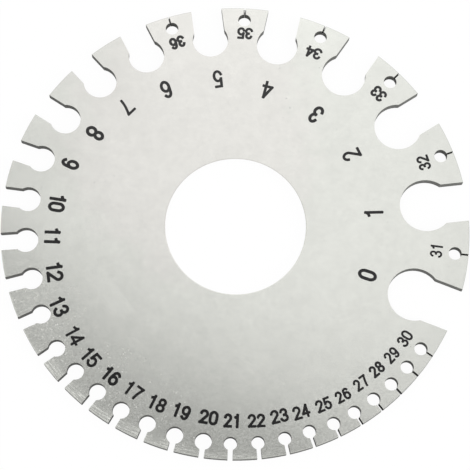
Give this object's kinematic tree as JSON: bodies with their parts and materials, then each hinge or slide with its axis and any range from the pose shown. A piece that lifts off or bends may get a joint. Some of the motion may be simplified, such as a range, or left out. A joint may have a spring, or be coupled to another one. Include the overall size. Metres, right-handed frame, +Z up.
{
  "type": "wire gauge",
  "caption": "Flat round steel gauge plate with graded slots round its rim, each ending in a relief hole, and a large centre hole.",
  "frame": {"origin": "on the axis of the centre hole, in the plane of the underside that the plate lies on", "axes": "+Z up through the centre hole towards the numbered face, +X between slots 0 and 1, +Y between slots 4 and 5"},
  "size_m": [0.0826, 0.0826, 0.0017],
  "materials": {
    "steel": "satin",
    "marking": "matte"
  },
  "bodies": {
    "root": {"gauge_plate": "steel"}
  },
  "joints": []
}
